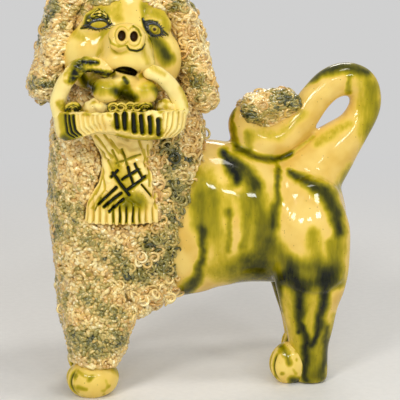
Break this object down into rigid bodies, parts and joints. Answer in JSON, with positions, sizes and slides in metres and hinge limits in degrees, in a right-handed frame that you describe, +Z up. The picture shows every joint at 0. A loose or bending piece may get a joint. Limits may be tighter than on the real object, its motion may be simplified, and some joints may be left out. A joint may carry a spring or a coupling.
{
  "type": "staffordshire dog figure",
  "caption": "Standing pottery poodle with a smooth run-glazed body, curled tail and sieved-clay coat, its head turned and a basket in its mouth.",
  "frame": {"origin": "middle of the figure's box, on the ground it stands on", "axes": "+X from the head end to the tail, -Y the way the face looks, +Z up"},
  "size_m": [0.1967, 0.1008, 0.2318],
  "materials": {
    "honey_glaze": "gloss, run",
    "cream_glaze": "gloss",
    "coat_glaze": "satin, matted",
    "straw_glaze": "gloss, incised",
    "olive_glaze": "gloss",
    "dark_glaze": "gloss",
    "covered_clay": "matt"
  },
  "bodies": {
    "root": {"torso": "honey_glaze", "tail": "honey_glaze", "left_hind_leg": "honey_glaze", "right_hind_leg": "honey_glaze", "head": "cream_glaze", "muzzle": "cream_glaze", "nose": "cream_glaze", "lower_jaw": "cream_glaze", "left_eyelid": "cream_glaze", "right_eyelid": "cream_glaze", "left_forepaw": "cream_glaze", "right_forepaw": "cream_glaze", "left_hind_paw": "cream_glaze", "right_hind_paw": "cream_glaze", "basket": "cream_glaze", "left_basket_handle": "cream_glaze", "right_basket_handle": "cream_glaze", "left_bread_roll": "cream_glaze", "right_bread_roll": "cream_glaze", "mane_coat": "coat_glaze", "left_foreleg_coat": "coat_glaze", "right_foreleg_coat": "coat_glaze", "left_ear_coat": "coat_glaze", "right_ear_coat": "coat_glaze", "topknot": "coat_glaze", "tail_tuft": "coat_glaze", "basket_cloth": "straw_glaze", "left_flower": "olive_glaze", "right_flower": "olive_glaze", "leaf": "olive_glaze", "left_eyeball": "dark_glaze", "right_eyeball": "dark_glaze", "chest": "covered_clay", "left_foreleg": "covered_clay", "right_foreleg": "covered_clay", "left_ear": "covered_clay", "right_ear": "covered_clay"}
  },
  "joints": []
}
